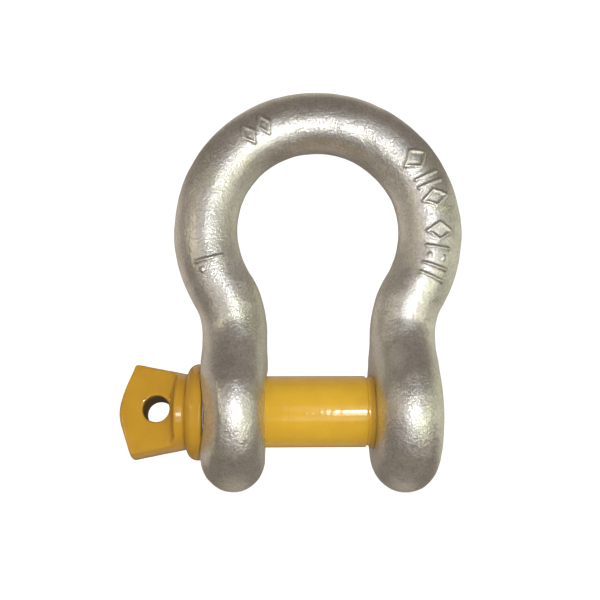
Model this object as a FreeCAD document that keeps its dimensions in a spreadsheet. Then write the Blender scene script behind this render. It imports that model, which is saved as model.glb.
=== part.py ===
import FreeCAD, Part
import math
import os
import Sketcher

# Screw-pin bow shackle, 22 mm size. Millimetres, +Z up towards the crown.
# The origin is on the pin's axis at the middle of the jaw. X runs along the pin: the pin's
# head is at -X and the tapped ear at +X. The bow lies in the XZ plane, in two mirrored halves.
# The pin is one forging, held in three nodes because it turns and slides at once:
# the round shank slides, and the head and the thread turn on it.

NODES = ["bow", "pin_head", "pin_shank", "pin_thread"]

X = FreeCAD.Vector(1, 0, 0)
Y = FreeCAD.Vector(0, 1, 0)
Z = FreeCAD.Vector(0, 0, 1)
UPRIGHT = FreeCAD.Rotation(X, 90)    # lays a drawing's y along +Z
ALONG_PIN = FreeCAD.Rotation(Y, 90)  # turns +Z to +X
CLOSE = 0.01                         # two places this near each other are the same

DRIVING = [
    # the bow's bar and its bends, along the bar's centre line
    ("pin_diameter", 25.0),
    ("jaw_width", 37.9),
    ("bar_crown", 21.4),
    ("bar_leg", 23.0),
    ("bow_radius", 40.2),
    ("bow_height", 63.8),
    ("neck_bend", 29.4),
    ("flare_start", 15.0),
    ("flare_bar_share", 0.92),
    # the ears and their holes
    ("ear_thickness", 21.8),
    ("ear_diameter", 55.6),
    ("plain_hole", 26.6),
    ("mouth_chamfer", 0.8),
    # the thread
    ("pitch", 3.0),
    ("thread_major", 24.4),
    ("thread_depth", 1.7),
    ("crest_width", 0.5),
    ("root_width", 2.2),
    ("thread_sink", 0.2),
    ("thread_play", 0.2),
    ("end_recess", 0.6),
    # the pin's collar, neck and tab
    ("collar_radius", 16.8),
    ("collar_thickness", 5.0),
    ("collar_gap", 0.2),
    ("neck_radius", 13.1),
    ("tab_length", 23.9),
    ("tab_half_width", 16.7),
    ("tab_thickness", 12.0),
    ("tab_tilt", -17.0),
    ("tab_end_radius", 16.7),
    ("tab_end_flank", 21.85),
    ("tab_corner", 1.0),
    ("eye_diameter", 9.0),
    ("eye_from_end", 13.3),
    ("shoulder_from_collar", 3.7),
    ("shoulder_radius", 3.0),
    ("tab_edge", 0.6),
    # the step at the end of the shank, in front of the tapped ear
    ("step_length", 2.4),
    ("step_depth", 0.7),
    ("ear_gap", 0.3),
]

WORKED_OUT = [
    ("ear_inner", "=jaw_width / 2"),
    ("ear_outer", "=jaw_width / 2 + ear_thickness"),
    ("ear_middle", "=jaw_width / 2 + ear_thickness / 2"),
    ("ear_radius", "=ear_diameter / 2"),
    ("rim_radius", "=ear_thickness / 2"),
    ("rim_centre", "=ear_radius - rim_radius"),
    # where the crown's arc meets the reversed bend above the ear
    ("bend_angle", "=acos((ear_middle + neck_bend) / (bow_radius + neck_bend))"),
    ("bend_centre_x", "=ear_middle + neck_bend"),
    ("bend_centre_z", "=bow_height - (bow_radius + neck_bend) * sin(bend_angle)"),
    # the flare starts part of the way up the reversed bend, in line with the bar
    ("flare_top_x", "=bend_centre_x - neck_bend * cos(flare_start * 1 deg)"),
    ("flare_top_z", "=bend_centre_z + neck_bend * sin(flare_start * 1 deg)"),
    ("flare_top_radius", "=bar_crown / 2 + (bar_leg - bar_crown) / 2 * flare_bar_share"),
    ("pin_radius", "=pin_diameter / 2"),
    ("core_radius", "=thread_major / 2 - thread_depth"),
    ("pin_end", "=ear_outer - end_recess"),
    ("thread_start", "=ear_inner - 2 * pitch"),
    ("tap_length", "=ear_thickness + 4 * pitch"),
    ("shank_end", "=ear_inner - ear_gap"),
    ("step_start", "=ear_inner - step_length"),
    ("step_radius", "=pin_radius - step_depth"),
    ("step_round_x", "=step_start - step_depth"),
    ("collar_face", "=-(ear_outer + collar_gap)"),
    ("collar_round", "=collar_radius - neck_radius"),
    ("collar_back", "=collar_face - collar_thickness"),
    ("collar_crest", "=collar_back + collar_round"),
    ("tab_end", "=collar_back - tab_length"),
    # the tab's end is an arc about the pin's axis, then a straight flank to each corner
    ("flank_start_x", "=tab_end + tab_end_radius * (1 - cos(tab_end_flank * 1 deg))"),
    ("flank_start_z", "=tab_end_radius * sin(tab_end_flank * 1 deg)"),
    ("corner_x", "=flank_start_x + (tab_half_width - flank_start_z) * tan(tab_end_flank * 1 deg)"),
    ("tab_end_centre", "=tab_end + tab_end_radius"),
    ("eye_x", "=tab_end + eye_from_end"),
    ("tab_face", "=tab_thickness / 2"),
    ("shoulder_x", "=collar_back - shoulder_from_collar"),
    ("shoulder_start_x", "=shoulder_x - shoulder_radius"),
    ("shoulder_top", "=tab_face + shoulder_radius"),
    ("beyond_head", "=2 * tab_half_width"),
    ("beyond_end", "=tab_end - tab_half_width"),
]

# The forged flare between leg and ear, as ellipses: height, half width across the ear's
# thickness and half width along its face, as shares of the ear's radius.
FLARE = [(1.00, 0.412, 0.47), (0.80, 0.398, 0.61), (0.58, 0.388, 0.72)]


def fill_sheet(doc):
    """The driving dimensions, then the sizes worked out from them."""
    sizes = doc.addObject("Spreadsheet::Sheet", "sizes")
    for row, (alias, value) in enumerate(DRIVING + WORKED_OUT, start=1):
        sizes.set(f"A{row}", alias)
        sizes.set(f"B{row}", str(value))
        sizes.setAlias(f"B{row}", alias)
    doc.recompute()
    return sizes


def number(name):
    """A cell's number, or 0 for a place on an axis. An angle's cell holds a quantity."""
    cell = getattr(sizes, name) if name else 0.0
    return float(getattr(cell, "Value", cell))


def bind(obj, **cells):
    """Set an object's properties to expressions; a double underscore stands for a dot."""
    for name, formula in cells.items():
        obj.setExpression(name.replace("__", "."), formula)
    return obj


def sketch_on(body, name, plane):
    """A sketch in a body, on one of the body's own origin planes."""
    sketch = body.newObject("Sketcher::SketchObject", name)
    origin_plane = next(f for f in body.Origin.OriginFeatures if f.Role == plane)
    sketch.AttachmentSupport = [(origin_plane, "")]
    sketch.MapMode = "FlatFace"
    return sketch


def tie(sketch, kind, place, cell):
    """One named constraint that follows a cell."""
    n = sketch.addConstraint(Sketcher.Constraint(kind, *place, number(cell)))
    name = f"{cell}_{n}"
    sketch.renameConstraint(n, name)
    sketch.setExpression(f"Constraints.{name}", f"sizes.{cell}")


def tie_coordinate(sketch, kind, geometry, end, cell):
    """Hold one coordinate of a line's or arc's point at a cell, or on the axis if ""."""
    if cell:
        tie(sketch, kind, (-1, 1, geometry, end), cell)
    else:
        axis = -2 if kind == "DistanceX" else -1
        sketch.addConstraint(Sketcher.Constraint("PointOnObject", geometry, end, axis))


def tie_point(sketch, geometry, end, x_cell, z_cell):
    """Hold a point of a line or arc at (x, z): each a cell's name, or "" for on the axis."""
    tie_coordinate(sketch, "DistanceX", geometry, end, x_cell)
    tie_coordinate(sketch, "DistanceY", geometry, end, z_cell)


def outline(sketch, corners):
    """A closed outline in a sketch. Each corner is (x, z), and a corner that starts an arc
    adds the arc's centre (x, z) and its turn: 1 for anticlockwise, -1 for clockwise."""
    links = []
    for here, there in zip(corners, corners[1:] + corners[:1]):
        start, end = (FreeCAD.Vector(number(p[0]), number(p[1]), 0) for p in (here, there))
        if len(here) == 2:
            n = sketch.addGeometry(Part.LineSegment(start, end))
            first, last = 1, 2
        else:
            centre_x, centre_z, turn = here[2:]
            centre = FreeCAD.Vector(number(centre_x), number(centre_z), 0)
            first, last = (1, 2) if turn > 0 else (2, 1)
            angles = [math.atan2(p.y - centre.y, p.x - centre.x) for p in (start, end)][::turn]
            circle = Part.Circle(centre, Z, start.distanceToPoint(centre))
            n = sketch.addGeometry(Part.ArcOfCircle(circle, *angles))
            # two ends and the centre's place across them fix an arc
            level = abs(end.x - start.x) > abs(end.y - start.y)
            if level:
                tie_coordinate(sketch, "DistanceY", n, 3, centre_z)
            else:
                tie_coordinate(sketch, "DistanceX", n, 3, centre_x)
        tie_point(sketch, n, first, here[0], here[1])
        links.append((n, first, last))
    for (n, _, last), (m, first, _) in zip(links, links[1:] + links[:1]):
        sketch.addConstraint(Sketcher.Constraint("Coincident", n, last, m, first))


def turned(name, corners):
    """A body turned about the pin's axis from a half outline in the XZ plane."""
    body = doc.addObject("PartDesign::Body", name)
    sketch = sketch_on(body, f"{name}_outline", "XZ_Plane")
    outline(sketch, corners)
    turn = body.newObject("PartDesign::Revolution", f"{name}_turn")
    turn.Profile = sketch
    turn.ReferenceAxis = (sketch, ["H_Axis"])
    turn.Angle = 360
    return body


def bar_path():
    """The right half of the bar's centre line: crown, then the reversed bend above the ear."""
    path = doc.addObject("Sketcher::SketchObject", "bar_path")
    path.Placement = FreeCAD.Placement(FreeCAD.Vector(), UPRIGHT)
    bend = math.radians(number("bend_angle"))
    crown = Part.Circle(FreeCAD.Vector(0, number("bow_height"), 0), Z, number("bow_radius"))
    crown = path.addGeometry(Part.ArcOfCircle(crown, -bend, math.pi / 2))
    middle = FreeCAD.Vector(number("bend_centre_x"), number("bend_centre_z"), 0)
    neck = Part.Circle(middle, Z, number("neck_bend"))
    neck = path.addGeometry(Part.ArcOfCircle(neck, math.pi - bend, math.pi))
    tie_point(path, crown, 3, "", "bow_height")
    tie(path, "Radius", (crown,), "bow_radius")
    tie(path, "Radius", (neck,), "neck_bend")
    tie(path, "DistanceX", (-1, 1, neck, 3), "bend_centre_x")
    path.addConstraint(Sketcher.Constraint("PointOnObject", crown, 2, -2))
    path.addConstraint(Sketcher.Constraint("Tangent", crown, 1, neck, 1))
    path.addConstraint(Sketcher.Constraint("Horizontal", neck, 3, neck, 2))
    return path


def bar_half():
    """Half of the bow's round bar, thicker towards the ear."""
    crown = doc.addObject("Part::Circle", "crown_section")
    crown.Placement = FreeCAD.Placement(FreeCAD.Vector(), ALONG_PIN)
    bind(crown, Radius="sizes.bar_crown / 2", Placement__Base__z="sizes.bow_height + sizes.bow_radius")
    leg = doc.addObject("Part::Circle", "leg_section")
    bind(leg, Radius="sizes.bar_leg / 2")
    bind(leg, Placement__Base__x="sizes.ear_middle", Placement__Base__z="sizes.bend_centre_z")
    bar = doc.addObject("Part::Sweep", "bar_half")
    bar.Sections = [crown, leg]
    bar.Spine = (bar_path(), ["Edge1", "Edge2"])
    bar.Solid = True
    bar.Frenet = False
    return bar


def flare_half():
    """The forged flare that spreads the leg into the ear's disc."""
    sections = []
    for n, (height, across, along) in enumerate(FLARE):
        ring = doc.addObject("Part::Ellipse", f"flare_section_{n}")
        ring.Placement = FreeCAD.Placement(FreeCAD.Vector(), FreeCAD.Rotation(Z, 90))
        bind(ring, MinorRadius=f"sizes.ear_radius * {across}", MajorRadius=f"sizes.ear_radius * {along}")
        bind(ring, Placement__Base__x="sizes.ear_middle")
        bind(ring, Placement__Base__z=f"sizes.ear_radius * {height}")
        sections.append(ring)
    top = doc.addObject("Part::Circle", "flare_top")
    top.Placement = FreeCAD.Placement(FreeCAD.Vector(), FreeCAD.Rotation(Y, number("flare_start")))
    bind(top, Radius="sizes.flare_top_radius")
    bind(top, Placement__Base__x="sizes.flare_top_x", Placement__Base__z="sizes.flare_top_z")
    flare = doc.addObject("Part::Loft", "flare_half")
    flare.Sections = [top] + sections
    flare.Solid = True
    return flare


def make_bow(tap):
    """The bow: two mirrored halves, a plain hole in one ear and a tapped hole in the other."""
    ear = turned("ear_half", [
        ("ear_inner", ""),
        ("ear_inner", "rim_centre", "ear_middle", "rim_centre", -1),
        ("ear_outer", "rim_centre"),
        ("ear_outer", ""),
    ])
    half = doc.addObject("Part::MultiFuse", "bow_half")
    half.Shapes = [bar_half(), flare_half(), ear]
    other = doc.addObject("Part::Mirroring", "bow_other_half")
    other.Source = half
    other.Normal = X
    blank = doc.addObject("Part::MultiFuse", "bow_blank")
    blank.Shapes = [half, other]
    hole = doc.addObject("Part::Cylinder", "plain_hole_drill")
    hole.Placement = FreeCAD.Placement(FreeCAD.Vector(), ALONG_PIN)
    bind(hole, Radius="sizes.plain_hole / 2", Height="2 * sizes.ear_outer")
    bind(hole, Placement__Base__x="-2 * sizes.ear_outer")
    bored = blank
    for n, tool in enumerate([hole] + mouth_chamfers()):
        cut = doc.addObject("Part::Cut", f"bow_bored_{n}")
        cut.Base, cut.Tool = bored, tool
        bored = cut
    bow = doc.addObject("Part::Cut", "bow")
    bow.Base, bow.Tool = bored, tap
    return bow


def mouth_chamfers():
    """Cones that break the edges of both holes on both faces of their ears."""
    cones = []
    for hole, side, bore in (
        ("plain", -1, "sizes.plain_hole / 2"),
        ("tapped", 1, "sizes.thread_major / 2 + sizes.thread_play"),
    ):
        for face, slope in (("ear_inner", side), ("ear_outer", -side)):
            cone = doc.addObject("Part::Cone", f"{hole}_{face}_mouth")
            cone.Placement = FreeCAD.Placement(FreeCAD.Vector(), FreeCAD.Rotation(Y, 90 * slope))
            bind(cone, Radius1=f"{bore} + sizes.mouth_chamfer", Radius2=f"{bore} - sizes.mouth_chamfer")
            bind(cone, Height="2 * sizes.mouth_chamfer", Placement__Base__x=f"{side} * sizes.{face}")
            cones.append(cone)
    return cones


def ridge(play, length):
    """A right-hand thread's ridge on its core, up from z = 0, larger all round by the play.
    Its flanks run on a little way into the core, so that the two fuse cleanly."""
    core = number("core_radius") + play
    depth = number("thread_depth")
    crest_half = number("crest_width") / 2 + play
    root_half = number("root_width") / 2 + play
    sink = number("thread_sink")
    sunk_half = root_half + (root_half - crest_half) * sink / depth
    section = [(core - sink, -sunk_half), (core + depth, -crest_half),
               (core + depth, crest_half), (core - sink, sunk_half)]
    points = [FreeCAD.Vector(r, 0, z) for r, z in section]
    helix = Part.makeHelix(number("pitch"), length, core)
    sweep = Part.BRepOffsetAPI.MakePipeShell(Part.Wire(helix.Edges))
    sweep.setFrenetMode(True)
    sweep.add(Part.makePolygon(points + points[:1]))
    sweep.build()
    sweep.makeSolid()
    spare = number("pitch")
    cylinder = Part.makeCylinder(core, length + 2 * spare, Z * -spare)
    return cylinder.fuse(sweep.shape())


def along_pin(name, shape):
    """A piece of the thread's own frame, laid along the pin from the thread's start."""
    piece = doc.addObject("Part::Feature", name)
    piece.Shape = shape
    piece.Placement = FreeCAD.Placement(X * number("thread_start"), ALONG_PIN)
    return piece


def make_tap():
    """The tapped ear's hole: the same thread with play, past both faces of the ear."""
    return along_pin("tap", ridge(number("thread_play"), number("tap_length")))


def make_pin_thread():
    """The pin's threaded end, with a run-out by the shank and a bevelled tip."""
    wide = number("thread_major") / 2 + number("thread_sink")
    runout = number("core_radius") + number("thread_sink")
    tip = number("core_radius") - number("thread_sink")
    low = number("shank_end") - number("thread_start")
    high = number("pin_end") - number("thread_start")
    half = [(0, low), (runout, low), (wide, low + wide - runout),
            (wide, high - wide + tip), (tip, high), (0, high)]
    points = [FreeCAD.Vector(r, 0, z) for r, z in half]
    envelope = Part.Face(Part.makePolygon(points + points[:1])).revolve(FreeCAD.Vector(), Z, 360)
    return along_pin("pin_thread", ridge(0, number("tap_length")).common(envelope))


def make_pin_shank():
    """The smooth shank, with the small rounded step in front of the tapped ear."""
    return turned("pin_shank", [
        ("collar_face", ""),
        ("collar_face", "pin_radius"),
        ("step_round_x", "pin_radius", "step_round_x", "step_radius", -1),
        ("step_start", "step_radius"),
        ("shank_end", "step_radius"),
        ("shank_end", ""),
    ])


def cut_through(body, name, plane, draw):
    """A pocket through the whole body, both ways from a plane; it must remove material."""
    before = body.Shape.Volume
    sketch = sketch_on(body, f"{name}_outline", plane)
    draw(sketch)
    pocket = body.newObject("PartDesign::Pocket", name)
    pocket.Profile = sketch
    pocket.Type = "ThroughAll"
    pocket.Midplane = True
    doc.recompute()
    if body.Shape.Volume >= before:
        raise ValueError(f"{name} cuts nothing")
    return pocket


def flat_outline(sketch):
    """What is forged away above the tab's face, up to the rounded shoulder by the neck."""
    outline(sketch, [
        ("beyond_end", "tab_face"),
        ("shoulder_start_x", "tab_face", "shoulder_start_x", "shoulder_top", 1),
        ("shoulder_x", "shoulder_top"),
        ("shoulder_x", "beyond_head"),
        ("beyond_end", "beyond_head"),
    ])


def eye_outline(sketch):
    """The round eye near the tab's end."""
    eye = sketch.addGeometry(Part.Circle(FreeCAD.Vector(number("eye_x"), 0, 0), Z, 1))
    tie_point(sketch, eye, 3, "eye_x", "")
    tie(sketch, "Diameter", (eye,), "eye_diameter")


def tab_corners(shape):
    """Names of the two edges at the tab's outer corners."""
    corner = number("corner_x")
    names = []
    for n, edge in enumerate(shape.Edges, start=1):
        box = edge.BoundBox
        if abs(box.XMin - corner) < CLOSE and abs(box.XMax - corner) < CLOSE:
            names.append(f"Edge{n}")
    return names


def rim_of_flats(shape):
    """Names of the edges round the tab's two faces and the eye, up to the shoulder."""
    face = number("tab_face")
    reach = number("shoulder_start_x") - number("tab_edge")
    names = []
    for n, edge in enumerate(shape.Edges, start=1):
        box = edge.BoundBox
        flat = box.YMax - box.YMin < CLOSE and abs(abs(box.YMin) - face) < CLOSE
        if flat and box.XMin < reach:
            names.append(f"Edge{n}")
    return names


def make_pin_head():
    """Collar, neck and tab: turned to outline, forged flat on two sides, with an eye."""
    head = turned("pin_head", [
        ("collar_face", ""),
        ("collar_face", "collar_radius"),
        ("collar_crest", "collar_radius", "collar_crest", "neck_radius", 1),
        ("collar_back", "neck_radius"),
        ("corner_x", "tab_half_width"),
        ("flank_start_x", "flank_start_z", "tab_end_centre", "", 1),
        ("tab_end", ""),
    ])
    doc.recompute()
    near = cut_through(head, "near_flat", "XY_Plane", flat_outline)
    far = head.newObject("PartDesign::Mirrored", "far_flat")
    far.Originals = [near]
    far.MirrorPlane = (next(f for f in head.Origin.OriginFeatures if f.Role == "XZ_Plane"), [""])
    head.Tip = far
    doc.recompute()
    eye = cut_through(head, "eye", "XZ_Plane", eye_outline)
    corners = head.newObject("PartDesign::Fillet", "rounded_corners")
    corners.Base = (eye, tab_corners(eye.Shape))
    bind(corners, Radius="sizes.tab_corner")
    doc.recompute()
    rim = head.newObject("PartDesign::Fillet", "tab_rim")
    rim.Base = (corners, rim_of_flats(corners.Shape))
    bind(rim, Radius="sizes.tab_edge")
    head.Tip = rim
    head.Placement = FreeCAD.Placement(FreeCAD.Vector(), FreeCAD.Rotation(X, number("tab_tilt")))
    return head


def check(document):
    """Stop if any object failed, or any node is empty or invalid."""
    for obj in document.Objects:
        if {"Invalid", "Error"} & set(obj.State):
            raise RuntimeError(f"{obj.Name} failed: {obj.State}")
    for name in NODES:
        shape = document.getObject(name).Shape
        if shape.isNull() or not shape.isValid() or len(shape.Solids) != 1:
            raise RuntimeError(f"{name} is not one valid solid")


doc = FreeCAD.newDocument("bow_shackle")
sizes = fill_sheet(doc)
make_bow(make_tap())
make_pin_head()
make_pin_shank()
make_pin_thread()
doc.recompute()
check(doc)

os.makedirs("parts", exist_ok=True)
for name in NODES:
    shape = doc.getObject(name).Shape
    shape.exportStep(f"parts/{name}.step")
    print(f"{name}: {shape.Volume / 1000:.1f} cm3, {len(shape.Faces)} faces")
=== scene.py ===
import math

import bmesh
import bpy
import numpy as np
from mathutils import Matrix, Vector
from mathutils import noise


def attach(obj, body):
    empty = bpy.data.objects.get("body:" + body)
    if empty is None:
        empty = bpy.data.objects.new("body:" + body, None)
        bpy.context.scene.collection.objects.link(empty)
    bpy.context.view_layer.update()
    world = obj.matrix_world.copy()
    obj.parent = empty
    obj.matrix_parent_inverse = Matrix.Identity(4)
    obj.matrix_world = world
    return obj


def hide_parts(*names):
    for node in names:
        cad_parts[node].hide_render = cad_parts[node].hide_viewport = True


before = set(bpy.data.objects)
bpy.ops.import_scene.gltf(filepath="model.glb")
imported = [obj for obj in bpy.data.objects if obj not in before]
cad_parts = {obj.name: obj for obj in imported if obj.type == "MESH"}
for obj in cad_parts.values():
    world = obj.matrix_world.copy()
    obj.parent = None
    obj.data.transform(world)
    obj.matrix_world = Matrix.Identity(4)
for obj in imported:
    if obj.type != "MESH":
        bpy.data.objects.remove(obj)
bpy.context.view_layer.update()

# ---------------------------------------------------------------- sizes
# A 22 mm screw-pin bow shackle. Shapes are worked out in millimetres in the object's frame:
# the pin's axis is X, the bow stands up along Z and its front faces -Y. The pin's head and the
# plain ear are on the -X side, the threaded ear is on the +X side. Sizes across the pin, the
# bar, an ear and a hole are half sizes or radii.
MM = 0.001

# the bow: an ear's disc, the centre line of the bar, and the bar's radius at the crown and at
# the leg, and the height inside the ear where it ends
EAR_MIDDLE, EAR_HALF, EAR_RADIUS = 29.85, 10.9, 27.8
EAR_OUTER = EAR_MIDDLE + EAR_HALF
BOW_HEIGHT, BOW_RADIUS, NECK_BEND = 63.8, 40.2, 29.4
BAR_CROWN, BAR_LEG, BAR_FOOT = 10.7, 11.5, 4
BEND = math.acos((EAR_MIDDLE + NECK_BEND) / (BOW_RADIUS + NECK_BEND))
BEND_X = EAR_MIDDLE + NECK_BEND
BEND_Z = BOW_HEIGHT - (BOW_RADIUS + NECK_BEND) * math.sin(BEND)

# down between these heights the bar spreads along Y, and then thins along X, into the ear
FLARE, FLARE_TOP, FLARE_END = 9.6, 34, 11
THINNING, THINNING_TOP, THINNING_END = 3.5, 14, 4

# how far the forging is from true: what the ears' radii gain, and places round the crown
# (degrees from +X, mm outwards, spread in degrees) that count fully above a height
THREADED_EAR_GAIN, PLAIN_EAR_GAIN = 0.3, -0.25
CROWN_SHIFTS = ((140, 0.2, 28), (90, -0.5, 25), (50, -0.4, 28), (216, -0.25, 12))
SHIFT_NONE, SHIFT_FULL = 15, 30

# the plain ear: its hole, die draft on its outer side, and a flat seat for the collar
PLAIN_HOLE = 13.3
DRAFT, DRAFT_START = math.radians(29), 14.5
SEAT_X, SEAT_RADIUS = -39.3, 17.4

# the thread, and the play round it in the threaded ear
PITCH, THREAD_START, CORE, DEPTH = 3.0, 12.95, 10.5, 1.7
CREST_HALF, ROOT_HALF, PLAY, BEVEL = 0.25, 1.1, 0.2, 0.2

# the pin's head: a round collar, a neck, and a tab with an eye
COLLAR_FACE, COLLAR_CREST, COLLAR_BACK = -39.7, -42.3, -45.95
COLLAR, NECK = 16.8, 13.05
TAB_END, TAB_HALF, TAB_FACE, TAB_TILT = -69.85, 16.7, 6.0, math.radians(-17)
TAB_CORNER_X, TAB_FLANK, TAB_ROUND = -64.45, math.radians(21.85), 16.7
SHOULDER_X, SHOULDER = -49.65, 3.0
EYE_X, EYE = -56.55, 4.5

# the pin's shank, its step in front of the threaded ear, and a bead of paint at its end
PIN = 12.5
STEP_ROUND, STEP_START, STEP, SHANK_END, PIN_END = 15.85, 16.55, 11.9, 18.65, 40.15
BEAD, BEAD_START, PAINT_END = 1.15, 17.15, 18.95

# how wide the fillets and the broken edges are
EAR_FILLET, FLANK_EDGE, SEAT_EDGE, HOLE_EDGE = 2.2, 1.4, 0.6, 1.3
TAB_EDGE, FLATS_EDGE, EYE_EDGE = 1.0, 0.8, 1.0
FACE_EDGE, COLLAR_EDGE, COLLAR_FILLET = 0.5, 1.2, 0.9

# mesh sizes
BOW_VOXEL, HEAD_VOXEL = 0.5, 0.4
SHANK_AROUND, SHANK_STATION = 128, 2.0
THREAD_AROUND, THREAD_STATION = 96, 0.125
SHARP_ANGLE = math.radians(40)


# ---------------------------------------------------------------- fields and their skins
# A field is a function of points (N x 3, mm): below 0 in the metal, above 0 outside it, and
# close to the distance from its surface.

def soft_min(a, b, k):
    """The lower of two fields, blended over k where they are close: a fillet."""
    h = np.clip(0.5 + 0.5 * (b - a) / k, 0, 1)
    return b + (a - b) * h - k * h * (1 - h)


def soft_max(a, b, k):
    """The higher of two fields, blended over k: an edge that is broken."""
    return -soft_min(-a, -b, k)


def ramp(value, start, end):
    """A smooth step from 0 at start to 1 at end, which may be above or below start."""
    t = np.clip((value - start) / (end - start), 0, 1)
    return t * t * (3 - 2 * t)


def bar_field(x, y, z):
    """The bow's bar: crown, reversed bend and leg. It is round, thicker towards the ear, and
    its forged flare spreads it across Y into the ear's disc."""
    angle = np.arctan2(z - BOW_HEIGHT, x)
    on_crown = (angle > -BEND) | (z > BOW_HEIGHT)
    from_crown = np.hypot(x, z - BOW_HEIGHT) - BOW_RADIUS
    from_bend = NECK_BEND - np.hypot(BEND_X - x, z - BEND_Z)
    across = np.where(on_crown, from_crown, np.where(z > BEND_Z, from_bend, x - EAR_MIDDLE))
    turn = np.clip(np.arctan2(z - BEND_Z, BEND_X - x), 0, BEND)
    to_bend = BOW_RADIUS * (math.pi / 2 + BEND)
    to_leg = to_bend + NECK_BEND * BEND
    on_bend = to_bend + NECK_BEND * (BEND - turn)
    along = np.where(on_crown, BOW_RADIUS * (math.pi / 2 - angle), on_bend)
    radius = BAR_CROWN + (BAR_LEG - BAR_CROWN) * np.clip(along / to_leg, 0, 1)
    below_crown = np.where(z > BEND_Z, BEND_Z + NECK_BEND * np.sin(turn), z)
    height = np.where(on_crown, BOW_HEIGHT, below_crown)
    wide = radius + FLARE * ramp(height, FLARE_TOP, FLARE_END)
    thick = radius - THINNING * ramp(height, THINNING_TOP, THINNING_END)
    dx, dy = across / thick, y / wide
    level = np.hypot(dx, dy) + 1e-9
    steep = np.hypot(dx / thick, dy / wide) + 1e-9
    return np.maximum(level * (level - 1) / steep, BAR_FOOT - z)


def forged_shift(p):
    """How far the forging is moved from the true arc at each point."""
    x, height = p[:, 0], p[:, 2] - BOW_HEIGHT
    turn = np.degrees(np.arctan2(height, x))
    turn = np.where(turn < -90, turn + 360, turn)
    outwards = np.zeros(len(p))
    for place, shift, spread in CROWN_SHIFTS:
        outwards += shift * np.exp(-0.5 * ((turn - place) / spread) ** 2)
    outwards *= ramp(p[:, 2], SHIFT_NONE, SHIFT_FULL) / (np.hypot(x, height) + 1e-9)
    return np.stack([outwards * x, np.zeros(len(p)), outwards * height], 1)


def ear_field(x, y, z):
    """An ear: a disc with a full-round rim. The two ears differ a little, and the plain one
    has die draft on its outer side, in front and at the back."""
    gain = np.where(x > 0, THREADED_EAR_GAIN, PLAIN_EAR_GAIN)
    out = np.hypot(y, z) - (EAR_RADIUS - EAR_HALF) - gain
    across = np.abs(np.abs(x) - EAR_MIDDLE)
    disc = np.where(out > 0, np.hypot(np.maximum(out, 0), across), across) - EAR_HALF
    flank = (-x - EAR_OUTER) * math.cos(DRAFT) + (np.abs(y) - DRAFT_START) * math.sin(DRAFT)
    return soft_max(disc, flank, FLANK_EDGE)


def thread_radius(x, y, z, play):
    """The radius of a right-hand thread's skin in a point's direction from the pin's axis."""
    turn = np.arctan2(y, -z) / (2 * math.pi)
    s = (x - THREAD_START) / PITCH - turn
    off = np.abs(s - np.round(s)) * PITCH
    slope = DEPTH / (ROOT_HALF - CREST_HALF)
    ridge = CORE + DEPTH - (off - CREST_HALF) * slope
    return np.clip(ridge, CORE, CORE + DEPTH) + play


def bow_field(p):
    """The whole bow: bar and ears, less the collar's seat, the plain hole and the tapped one."""
    x, y, z = (p - forged_shift(p)).T
    solid = soft_min(bar_field(np.abs(x), y, z), ear_field(x, y, z), EAR_FILLET)
    x, y, z = p.T
    from_axis = np.hypot(y, z)
    outside_seat = np.minimum(SEAT_RADIUS - from_axis, SEAT_X - x)
    solid = soft_max(solid, outside_seat, SEAT_EDGE)
    hole = np.where(x < 0, PLAIN_HOLE, thread_radius(x, y, z, PLAY))
    return soft_max(solid, hole - from_axis, HOLE_EDGE)


def tab_frame(p):
    """Points turned back so that the tab's faces look along Y."""
    c, s = math.cos(TAB_TILT), math.sin(TAB_TILT)
    x, y, z = p.T
    return x, c * y + s * z, -s * y + c * z


def head_field(p):
    """The pin's head: the tab with its shoulder, the neck, the collar and the eye."""
    x, y, z = tab_frame(p)
    out = np.hypot(y, z)
    # sides that widen from the neck to the corners, two flanks and the rounded end
    lean = math.atan2(TAB_HALF - NECK, COLLAR_BACK - TAB_CORNER_X)
    sides = (out - NECK) * math.cos(lean) - (COLLAR_BACK - x) * math.sin(lean)
    flank = (TAB_CORNER_X - x) * math.cos(TAB_FLANK) + (out - TAB_HALF) * math.sin(TAB_FLANK)
    end = np.sqrt((x - TAB_END - TAB_ROUND) ** 2 + out**2) - TAB_ROUND
    tip = np.where(out > TAB_ROUND * math.sin(TAB_FLANK), flank, end)
    solid = soft_max(sides, tip, TAB_EDGE)
    # the two flats, up to a concave shoulder by the neck
    slab, wall = np.abs(y) - TAB_FACE, SHOULDER_X - x
    joined = np.maximum(SHOULDER, np.minimum(slab, wall))
    flats = joined - np.hypot(np.maximum(SHOULDER - slab, 0), np.maximum(SHOULDER - wall, 0))
    solid = soft_max(solid, flats, FLATS_EDGE)
    solid = soft_max(solid, x - COLLAR_FACE, FACE_EDGE)
    # the collar: round on its outer side, with its edge broken next to the ear
    bead = COLLAR - NECK
    rim = np.hypot(np.minimum(x - COLLAR_CREST, 0), np.maximum(out - NECK, 0)) - bead
    collar = np.maximum(rim, COLLAR_BACK - x)
    collar = soft_max(collar, x - COLLAR_FACE, COLLAR_EDGE)
    solid = soft_min(solid, collar, COLLAR_FILLET)
    eye = EYE - np.hypot(x - EYE_X, z)
    return soft_max(solid, eye, EYE_EDGE)


def gradient(field, p, step=0.02):
    """The direction in which a field rises fastest, and how fast."""
    rise = np.empty_like(p)
    for axis in range(3):
        shift = np.zeros(3)
        shift[axis] = step
        rise[:, axis] = (field(p + shift) - field(p - shift)) / (2 * step)
    return rise


def points_of(mesh):
    """A mesh's vertices as points in mm."""
    p = np.empty(len(mesh.vertices) * 3)
    mesh.vertices.foreach_get("co", p)
    return p.reshape(-1, 3) / MM


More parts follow.
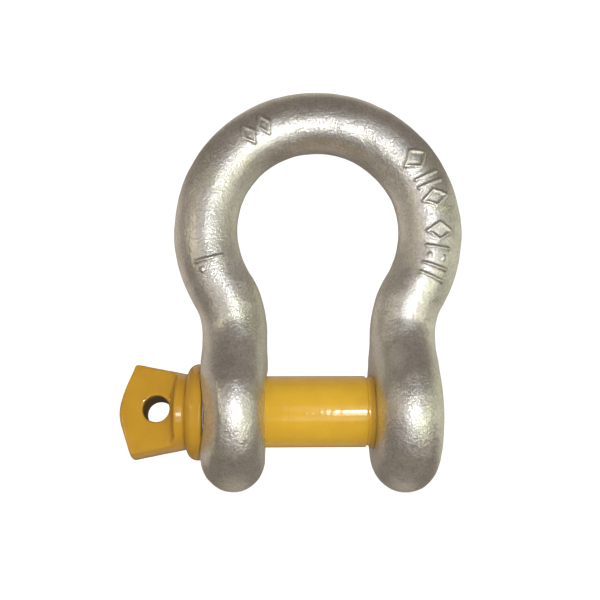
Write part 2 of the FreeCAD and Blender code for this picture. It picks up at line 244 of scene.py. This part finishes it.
def refine(mesh, wanted):
    """Split the faces in two each way where wanted(points) holds."""
    chosen = wanted(points_of(mesh))
    bm = bmesh.new()
    bm.from_mesh(mesh)
    edges = [e for e in bm.edges if chosen[e.verts[0].index] and chosen[e.verts[1].index]]
    bmesh.ops.subdivide_edges(bm, edges=edges, cuts=1, use_grid_fill=True)
    bm.to_mesh(mesh)
    bm.free()


def project(field, p, reach, steps=5, least_steep=0.25):
    """Move points onto a field's surface in a few steps, each no longer than about reach."""
    for _ in range(steps):
        rise = gradient(field, p)
        steep = np.maximum((rise**2).sum(1), least_steep)
        move = np.clip(field(p) / steep, -reach, reach)
        p -= rise * move[:, None]


def skin(name, node, field, voxel, relief, fine=None):
    """A visible piece in a CAD node's place: an even mesh of the node, refined where fine
    holds, drawn onto a field's surface, then moved along its normal by relief, in mm."""
    raw = bpy.data.objects.new(f"{name}_raw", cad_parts[node].data.copy())
    bpy.context.scene.collection.objects.link(raw)
    even = raw.modifiers.new("even", "REMESH")
    even.mode = "VOXEL"
    even.voxel_size = voxel * MM
    mesh = bpy.data.meshes.new_from_object(raw.evaluated_get(bpy.context.evaluated_depsgraph_get()))
    mesh.name = name
    bpy.data.objects.remove(raw)
    if fine:
        refine(mesh, fine)
    p = points_of(mesh)
    project(field, p, voxel)
    normals = gradient(field, p)
    normals /= np.linalg.norm(normals, axis=1)[:, None] + 1e-9
    p += normals * relief(p)[:, None]
    mesh.vertices.foreach_set("co", (p * MM).ravel())
    mesh.update()
    mesh.shade_smooth()
    obj = bpy.data.objects.new(name, mesh)
    bpy.context.scene.collection.objects.link(obj)
    return obj


# ---------------------------------------------------------------- raised marks
# Raised forging marks on the front of the bow: plain bars, lozenges and pips, made of straight
# strokes. A place is (mm along the bar's centre line from the +X side, mm across it from the
# front, outwards).
RAISED, FOOT = 0.42, 0.9
FINE_ROUND_MARKS = 1.7
PIP_HALF = 0.3
MARKS_ABOVE, FAR = 35, 99.0


def lozenge(along, across, half_along, half_across):
    """The four strokes of a lozenge."""
    corners = [
        (along - half_along, across),
        (along, across + half_across),
        (along + half_along, across),
        (along, across - half_across),
    ]
    return list(zip(corners, corners[1:] + corners[:1]))


def bar(along, across, half_across):
    """One stroke across the bow's bar."""
    return [((along, across - half_across), (along, across + half_across))]


def pip(along, across):
    """One short stroke along the bow's bar."""
    return [((along - PIP_HALF, across), (along + PIP_HALF, across))]


MARKS = (
    lozenge(25.6, 1.0, 3.3, 4.4)
    + bar(18.9, 1.2, 4.1)
    + bar(15.9, 1.2, 4.1)
    + lozenge(10.8, 1.2, 2.7, 4.2)
    + lozenge(-0.6, 1.2, 2.9, 4.1)
    + bar(-6.2, 1.0, 3.7)
    + pip(-9.3, 3.6)
    + pip(-9.3, -1.4)
    + bar(-12.6, 1.4, 3.9)
    + bar(-16.3, 1.8, 4.1)
    + lozenge(89.2, 0.6, 2.0, 3.4)
    + lozenge(83.0, 0.8, 2.0, 3.4)
    + bar(137.0, -0.7, 4.2)
    + pip(139.9, 2.6)
)


def bow_place(p):
    """Where points lie on the bow's crown: mm along it, and mm across it from the front."""
    x, y, z = p.T
    angle = np.arctan2(z - BOW_HEIGHT, x)
    angle = np.where(angle < -math.pi / 2, angle + 2 * math.pi, angle)
    across = np.arctan2(np.hypot(x, z - BOW_HEIGHT) - BOW_RADIUS, -y)
    return angle * BOW_RADIUS, across * BAR_CROWN


def mark_distance(p):
    """The distance from the nearest stroke, in mm; far away behind the bow and on the ears."""
    along, across = bow_place(p)
    nearest = np.full(len(p), FAR)
    for (a0, c0), (a1, c1) in MARKS:
        da, dc = a1 - a0, c1 - c0
        share = np.clip(((along - a0) * da + (across - c0) * dc) / (da * da + dc * dc), 0, 1)
        nearest = np.minimum(nearest, np.hypot(along - a0 - share * da, across - c0 - share * dc))
    return np.where((p[:, 1] < 0) & (p[:, 2] > MARKS_ABOVE), nearest, FAR)


def near_marks(p):
    """Where the bow's mesh has to be fine."""
    return mark_distance(p) < FINE_ROUND_MARKS


# ---------------------------------------------------------------- the four pieces
# Unevenness of the two forgings: height, size of the lumps, and seed. The bow's fades out at
# the edges of its holes, the head's on the collar's flat side.
BOW_LUMPS = ((0.10, 11, 1), (0.045, 4.2, 2), (0.016, 1.7, 3))
HEAD_LUMPS = ((0.05, 6, 4), (0.02, 2.5, 5))
HOLE_SMOOTH, HOLE_UNEVEN = 13.5, 15.5
FLUSH_OVER = 1.5
SEED_STEP = (17.3, 5.1, 9.7)


def lumps(p, size, seed):
    """Smooth noise from about -1 to 1, with lumps of that size in mm."""
    shift = Vector([seed * step for step in SEED_STEP])
    return np.array([noise.noise(Vector(v) + shift) for v in p / size]) * 2


def uneven(p, layers):
    """The sum of some layers of lumps."""
    return sum(height * lumps(p, size, seed) for height, size, seed in layers)


def bow_relief(p):
    """Marks, and the shallow unevenness of a forging that was dipped in zinc."""
    marks = RAISED * ramp(mark_distance(p), FOOT, 0)
    in_hole = ramp(np.hypot(p[:, 1], p[:, 2]), HOLE_UNEVEN, HOLE_SMOOTH)
    return marks + uneven(p, BOW_LUMPS) * (1 - in_hole)


def head_relief(p):
    """The faint unevenness of a painted forging."""
    flush = ramp(p[:, 0], COLLAR_CREST, COLLAR_CREST + FLUSH_OVER)
    return uneven(p, HEAD_LUMPS) * (1 - flush)


def lathe(name, stations, radius, around):
    """A piece turned about the pin's axis: radius(x, y, z) where (y, z) is a direction."""
    turn = np.arange(around) * 2 * math.pi / around
    y, z = np.cos(turn), np.sin(turn)
    bm = bmesh.new()
    rings = []
    for station in stations:
        x = np.full(around, station)
        r = radius(x, y, z)
        rings.append([bm.verts.new(v) for v in np.stack([x, r * y, r * z], 1) * MM])
    for a, b in zip(rings, rings[1:]):
        for i in range(around):
            j = (i + 1) % around
            bm.faces.new((a[i], a[j], b[j], b[i]))
    for ring in (rings[0], rings[-1]):
        bm.faces.new(ring)
    bmesh.ops.recalc_face_normals(bm, faces=bm.faces)
    mesh = bpy.data.meshes.new(name)
    bm.to_mesh(mesh)
    bm.free()
    obj = bpy.data.objects.new(name, mesh)
    bpy.context.scene.collection.objects.link(obj)
    mesh.shade_smooth()
    mesh.set_sharp_from_angle(angle=SHARP_ANGLE)
    return obj


def shank_radius(x, y, z):
    """The shank: plain, then a rounded step down, then a bead of paint up to the ear."""
    drop = np.clip((x - STEP_ROUND) / (STEP_START - STEP_ROUND), 0, 1)
    bead = BEAD * ramp(x, BEAD_START, SHANK_END)
    return STEP + (PIN - STEP) * np.sqrt(1 - drop**2) + bead


def pin_thread_radius(x, y, z):
    """The pin's thread, bevelled down to about its core at both ends."""
    bevel_in = CORE + BEVEL + (x - SHANK_END)
    bevel_out = CORE - BEVEL + (PIN_END - x)
    return np.minimum(thread_radius(x, y, z, 0), np.minimum(bevel_in, bevel_out))


bow = skin("bow_forging", "bow", bow_field, BOW_VOXEL, bow_relief, near_marks)
head = skin("pin_tab_and_collar", "pin_head", head_field, HEAD_VOXEL, head_relief)

# stations are close together where the shank's outline bends
shank_x = np.concatenate([
    np.arange(COLLAR_FACE, STEP_ROUND - 1, SHANK_STATION),
    np.linspace(STEP_ROUND, STEP_START, 10),
    np.linspace(STEP_START + 0.3, PAINT_END, 9),
])
shank = lathe("pin_shank_turned", shank_x, shank_radius, SHANK_AROUND)
thread_x = np.arange(SHANK_END, PIN_END + 0.01, THREAD_STATION)
thread = lathe("pin_thread_cut", thread_x, pin_thread_radius, THREAD_AROUND)

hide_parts("bow")
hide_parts("pin_head")
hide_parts("pin_shank")
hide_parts("pin_thread")
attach(bow, "bow")
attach(head, "pin_turning")
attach(shank, "pin")
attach(thread, "pin_turning")


# ---------------------------------------------------------------- materials

ZINC, PALE_ZINC, DULL_ZINC = (0.72, 0.71, 0.69), (0.82, 0.81, 0.79), (0.56, 0.53, 0.50)
ZINC_GREEN, ZINC_ROSE, ZINC_PITS = (0.76, 0.77, 0.62), (0.73, 0.67, 0.68), (0.36, 0.34, 0.31)
# one enamel in two copies: the head's yellows are darker with painted shade, the shank's lighter with
# painted light
SHADED_HEAD_YELLOW, SHADED_HEAD_YELLOW_PALE = (0.72, 0.39, 0.035), (0.77, 0.43, 0.04)
LIT_SHANK_YELLOW, LIT_SHANK_YELLOW_PALE = (0.91, 0.53, 0.045), (0.96, 0.58, 0.05)
YELLOW_SPECKS = (0.62, 0.30, 0.02)
HEAD_PEEL, SHANK_PEEL, SHANK_RINGS = 0.00003, 0.00002, 0.00005
CUT_STEEL, CUT_STEEL_PALE = (0.46, 0.44, 0.40), (0.60, 0.58, 0.53)
# dark colours that paint shade in, mixed in by each piece's share of painted shade
ZINC_SHADE, ENAMEL_SHADE, THREAD_SHADE = (0.13, 0.10, 0.07), (0.07, 0.045, 0.02), (0.10, 0.08, 0.05)


class Shader:
    """A Principled material with a few helpers for its nodes. Lengths are in metres."""

    def __init__(self, name):
        self.material = bpy.data.materials.new(name)
        self.material.use_nodes = True
        self.tree = self.material.node_tree
        self.main = self.tree.nodes["Principled BSDF"]
        self.place = self.tree.nodes.new("ShaderNodeTexCoord").outputs["Object"]

    def node(self, kind, **settings):
        made = self.tree.nodes.new(kind)
        for key, value in settings.items():
            setattr(made, key, value)
        return made

    def link(self, output, node, socket):
        self.tree.links.new(output, node.inputs[socket])

    def noise(self, size, detail=2.0, rough=0.5, warp=0.0, stretch=None):
        """Noise from 0 to 1 with features of that size."""
        made = self.node("ShaderNodeTexNoise")
        made.inputs["Scale"].default_value = 1 / size
        made.inputs["Detail"].default_value = detail
        made.inputs["Roughness"].default_value = rough
        made.inputs["Distortion"].default_value = warp
        if stretch:
            mapping = self.node("ShaderNodeMapping")
            mapping.inputs["Scale"].default_value = stretch
            self.link(self.place, mapping, "Vector")
            self.link(mapping.outputs[0], made, "Vector")
        else:
            self.link(self.place, made, "Vector")
        return made.outputs["Fac"]

    def between(self, value, low, high, to_low, to_high):
        """The value, mapped from low..high to to_low..to_high and held there."""
        made = self.node("ShaderNodeMapRange")
        made.inputs["From Min"].default_value = low
        made.inputs["From Max"].default_value = high
        made.inputs["To Min"].default_value = to_low
        made.inputs["To Max"].default_value = to_high
        self.link(value, made, "Value")
        return made.outputs[0]

    def higher(self, a, b):
        """The higher of two outputs."""
        made = self.node("ShaderNodeMath", operation="MAXIMUM")
        self.link(a, made, 0)
        self.link(b, made, 1)
        return made.outputs[0]

    def blend(self, share, a, b):
        """Colour a at share 0, b at share 1. Each is a colour or an output."""
        made = self.node("ShaderNodeMix", data_type="RGBA")
        self.link(share, made, 0)
        for socket, colour in ((6, a), (7, b)):
            if isinstance(colour, tuple):
                made.inputs[socket].default_value = (*colour, 1)
            else:
                self.link(colour, made, socket)
        return made.outputs[2]

    def bump(self, height, distance, before=None):
        """A normal that follows a height, on top of the one before it."""
        made = self.node("ShaderNodeBump")
        made.inputs["Distance"].default_value = distance
        made.inputs["Strength"].default_value = 1
        self.link(height, made, "Height")
        if before is not None:
            self.link(before, made, "Normal")
        return made.outputs[0]

    def attribute(self, name):
        """A number that the mesh holds for each vertex."""
        return self.node("ShaderNodeAttribute", attribute_name=name).outputs["Fac"]


def zinc_material():
    """Hot-dip zinc on a forging: satin, finely grained, with faint warm and green tints."""
    m = Shader("galvanised_steel")
    grain = m.noise(0.0008, 2, 0.65)
    clouds = m.between(m.noise(0.007, 3), 0.35, 0.65, 0, 1)
    green = m.between(m.noise(0.013, 2, warp=0.4), 0.52, 0.70, 0, 0.6)
    rose = m.between(m.noise(0.010, 2, warp=0.3), 0.55, 0.72, 0, 0.5)
    dull = m.between(m.noise(0.021, 2, warp=0.5), 0.50, 0.72, 0, 0.45)
    pits = m.between(grain, 0.38, 0.58, 0.36, 0)
    tone = m.blend(clouds, ZINC, PALE_ZINC)
    tone = m.blend(green, tone, ZINC_GREEN)
    tone = m.blend(rose, tone, ZINC_ROSE)
    tone = m.blend(dull, tone, DULL_ZINC)
    tone = m.blend(pits, tone, ZINC_PITS)
    # painted shade darkens the zinc by the mesh's share of it
    tone = m.blend(m.attribute("painted_shade"), tone, ZINC_SHADE)
    m.link(tone, m.main, "Base Color")
    m.main.inputs["Metallic"].default_value = 1.0
    m.link(m.between(m.noise(0.0022, 3), 0.3, 0.7, 0.34, 0.46), m.main, "Roughness")
    ripple = m.bump(m.noise(0.0028, 2), 0.00006)
    m.link(m.bump(grain, 0.00018, before=ripple), m.main, "Normal")
    return m.material


def enamel_material(name, yellow, pale, peel, rings=0):
    """Golden yellow gloss enamel over steel, darker and duller where shade is painted in. The heights
    of its orange peel and of the turning rings under it are in metres."""
    m = Shader(name)
    clouds = m.between(m.noise(0.009, 3), 0.35, 0.65, 0, 1)
    specks = m.between(m.noise(0.0009, 3, 0.7), 0.66, 0.72, 0, 0.6)
    painted_shade = m.attribute("painted_shade")
    tone = m.blend(clouds, yellow, pale)
    tone = m.blend(specks, tone, YELLOW_SPECKS)
    # painted shade darkens the enamel by the mesh's share of it, and it is duller there
    tone = m.blend(painted_shade, tone, ENAMEL_SHADE)
    m.link(tone, m.main, "Base Color")
    gloss = m.between(m.noise(0.004, 2), 0.3, 0.7, 0.09, 0.15)
    dull = m.between(painted_shade, 0.4, 0.9, 0, 0.75)
    m.link(m.higher(gloss, dull), m.main, "Roughness")
    surface = m.bump(m.noise(0.0016, 2), peel)
    if rings:
        along_pin = m.noise(0.0014, 1, stretch=(1.0, 0.03, 0.03))
        surface = m.bump(along_pin, rings, before=surface)
    m.link(surface, m.main, "Normal")
    return m.material


def head_material():
    """Enamel on the forged head, in the darker copy of the yellow: painted shade."""
    return enamel_material("yellow_enamel", SHADED_HEAD_YELLOW, SHADED_HEAD_YELLOW_PALE, HEAD_PEEL)


def shank_material():
    """Enamel on the turned shank, in the lighter copy of the yellow: painted light."""
    return enamel_material(
        "yellow_enamel_turned", LIT_SHANK_YELLOW, LIT_SHANK_YELLOW_PALE, SHANK_PEEL, SHANK_RINGS
    )


def thread_material():
    """A cut thread, zinc plated, darkened in its roots by painted shade."""
    m = Shader("cut_thread")
    clouds = m.between(m.noise(0.002, 3), 0.35, 0.65, 0, 1)
    tone = m.blend(clouds, CUT_STEEL, CUT_STEEL_PALE)
    # painted shade darkens the thread by the mesh's share of it
    tone = m.blend(m.attribute("painted_shade"), tone, THREAD_SHADE)
    m.link(tone, m.main, "Base Color")
    m.main.inputs["Metallic"].default_value = 1.0
    m.link(m.between(m.noise(0.0015, 2), 0.3, 0.7, 0.22, 0.4), m.main, "Roughness")
    m.link(m.bump(m.noise(0.0006, 2), 0.00002), m.main, "Normal")
    return m.material


# ---------------------------------------------------------------- painted shade
# Each function gives a share of painted shade from 0 to 1 at points in mm. The holes get painted
# shade near their walls, fully from a little way inside the ear, and the seat gets it in a ring.
BORE_UNSHADED, BORE_SHADED, BORE_MOUTH = 13.9, 13.1, 2.0
SEAT_RING_INNER, SEAT_RING_OUTER = 15, 18.2


def bow_painted_shade(p):
    """Painted shade at the foot of the raised marks, in both holes and in the gap round the collar's
    seat.
    """
    x, from_axis = p[:, 0], np.hypot(p[:, 1], p[:, 2])
    beside = np.exp(-(((mark_distance(p) - FOOT) / 0.3) ** 2))
    deep = ramp(np.abs(np.abs(x) - EAR_MIDDLE), EAR_HALF, EAR_HALF - BORE_MOUTH)
    bore = ramp(from_axis, BORE_UNSHADED, BORE_SHADED) * deep
    seat = ramp(x, SEAT_X + 0.7, SEAT_X + 0.3)
    seat *= ramp(from_axis, SEAT_RING_INNER, SEAT_RING_INNER + 1.5)
    seat *= ramp(from_axis, SEAT_RING_OUTER, SEAT_RING_OUTER - 0.8)
    return np.maximum(0.3 * beside, np.maximum(0.75 * bore, 0.6 * seat))


def head_painted_shade(p):
    """Painted shade in the eye, and a little in the corner between neck and collar."""
    x, y, z = tab_frame(p)
    eye = ramp(np.hypot(x - EYE_X, z), EYE + 0.35, EYE - 0.05)
    corner = np.exp(-(((x - COLLAR_BACK) / 0.5) ** 2)) * ramp(np.hypot(y, z), NECK + 1.2, NECK)
    return np.maximum(0.93 * eye, 0.25 * corner)


def shank_painted_shade(p):
    """Painted shade where the shank meets the threaded ear, standing in for the ear's shadow and its
    dark reflection in the paint.
    """
    return 0.3 * ramp(p[:, 0], SHANK_END - 3.0, SHANK_END - 0.4)


def thread_painted_shade(p):
    """Painted shade in the thread's roots."""
    return 0.85 * ramp(np.hypot(p[:, 1], p[:, 2]), CORE + 0.9, CORE - 0.1)


def finish_piece(obj, painted_shade, material):
    """Store a piece's share of painted shade for its material to read, and give it the material."""
    made = obj.data.attributes.new("painted_shade", "FLOAT", "POINT")
    made.data.foreach_set("value", np.asarray(painted_shade(points_of(obj.data)), np.float32))
    obj.data.materials.clear()
    obj.data.materials.append(material)


finish_piece(bow, bow_painted_shade, zinc_material())
finish_piece(head, head_painted_shade, head_material())
finish_piece(shank, shank_painted_shade, shank_material())
finish_piece(thread, thread_painted_shade, thread_material())

# ---------------------------------------------------------------- camera

cam_data = bpy.data.cameras.new("camera")
cam_data.sensor_width = 36
cam_data.lens = 43.599
camera = bpy.data.objects.new("camera", cam_data)
camera.location = (-0.01435, -0.25924, 0.02771)
camera.rotation_euler = (math.radians(92.626), 0, math.radians(-1.695))
bpy.context.scene.collection.objects.link(camera)
bpy.context.scene.camera = camera
bpy.context.scene.view_settings.view_transform = "Standard"

# ---------------------------------------------------------------- studio, in metres

MIDDLE = Vector((0, 0, 0.04))

# Tints of the lamps, and the lamps round the object: azimuth in degrees (0 in front, 90 at
# its right), elevation, distance and side in metres, brightness, and tint.
NEUTRAL, COOL = (1, 1, 1), (0.87, 0.95, 1)
GREENISH, WARM, TAN = (0.95, 1, 0.75), (1, 0.88, 0.56), (1, 0.9, 0.75)
LAMPS = {
    "key": (8, -8, 0.35, 0.05, 12, NEUTRAL),
    "key_spill_above": (6, 9, 0.30, 0.08, 1.4, COOL),
    "key_spill_below": (6, -23, 0.33, 0.08, 2, COOL),
    "front_right_high": (24, 18, 0.6, 0.2, 1.1, COOL),
    "front_right_low": (36, -18, 0.6, 0.16, 5, GREENISH),
    "right": (54, 0, 0.6, 0.16, 3, GREENISH),
    "left": (-49, 7, 0.38, 0.06, 6.5, WARM),
    "left_high": (-72, 18, 0.6, 0.16, 0.7, TAN),
    "panel_front_left": (-30, 0, 1.0, 0.6, 0.6, NEUTRAL),
    "panel_right": (90, 0, 1.0, 0.6, 0.55, GREENISH),
    "panel_back_right": (125, 0, 1.0, 0.9, 0.45, GREENISH),
    "panel_back_left": (235, 0, 1.0, 0.9, 0.45, TAN),
    "panel_back_high": (180, 45, 1.0, 0.9, 0.5, TAN),
    "panel_back_low": (180, -60, 1.0, 0.6, 0.3, TAN),
}
FLASH_PLACE, FLASH_SIDE, FLASH_BRIGHTNESS = Vector((0.040, -0.262, 0.028)), 0.012, 330
SURROUNDINGS = (0.235, 0.2, 0.17)
FLOOR_HALF, FLOOR_GAP, BACKDROP_RADIUS = 1.5, 0.6 * MM, 2.5


def softbox(name, place, side, brightness, tint):
    """A square soft light that faces the object."""
    light = bpy.data.lights.new(name, "AREA")
    light.size = side
    light.energy = brightness * math.pi * side**2
    light.color = tint
    obj = bpy.data.objects.new(name, light)
    obj.location = place
    obj.rotation_euler = (MIDDLE - place).to_track_quat("-Z", "Y").to_euler()
    obj.visible_camera = False
    bpy.context.scene.collection.objects.link(obj)


def towards(azimuth, elevation):
    """The direction from the object's middle, with angles in degrees."""
    turn, rise = math.radians(azimuth), math.radians(elevation)
    return Vector((math.sin(turn) * math.cos(rise), -math.cos(turn) * math.cos(rise), math.sin(rise)))


for name, (azimuth, elevation, distance, side, brightness, tint) in LAMPS.items():
    softbox(name, MIDDLE + towards(azimuth, elevation) * distance, side, brightness, tint)
softbox("flash", FLASH_PLACE, FLASH_SIDE, FLASH_BRIGHTNESS, NEUTRAL)

world = bpy.data.worlds.new("surroundings")
world.use_nodes = True
world.node_tree.nodes["Background"].inputs["Color"].default_value = (*SURROUNDINGS, 1)
bpy.context.scene.world = world


def stage_material(name, colour, glow):
    """A matt surface that also glows white."""
    m = bpy.data.materials.new(name)
    m.use_nodes = True
    shader = m.node_tree.nodes["Principled BSDF"]
    shader.inputs["Base Color"].default_value = (*colour, 1)
    shader.inputs["Roughness"].default_value = 1
    shader.inputs["Specular IOR Level"].default_value = 0
    shader.inputs["Emission Color"].default_value = (1, 1, 1, 1)
    shader.inputs["Emission Strength"].default_value = glow
    return m


def stage_piece(name, m, build, **shape):
    """A piece of the stage. The camera sees it, but it lights nothing and casts no shadow."""
    bm = bmesh.new()
    build(bm, **shape)
    mesh = bpy.data.meshes.new(name)
    bm.to_mesh(mesh)
    bm.free()
    mesh.materials.append(m)
    obj = bpy.data.objects.new(name, mesh)
    bpy.context.scene.collection.objects.link(obj)
    obj.visible_glossy = False
    obj.visible_diffuse = False
    obj.visible_shadow = False
    return obj


floor_paint = stage_material("pale_floor", (0.8, 0.8, 0.8), 0.85)
floor = stage_piece(
    "floor", floor_paint, bmesh.ops.create_grid, x_segments=1, y_segments=1, size=FLOOR_HALF
)
floor.location.z = -EAR_RADIUS * MM - FLOOR_GAP
backdrop_paint = stage_material("white_backdrop", (0, 0, 0), 1.1)
stage_piece(
    "backdrop", backdrop_paint, bmesh.ops.create_icosphere, subdivisions=4, radius=BACKDROP_RADIUS
)
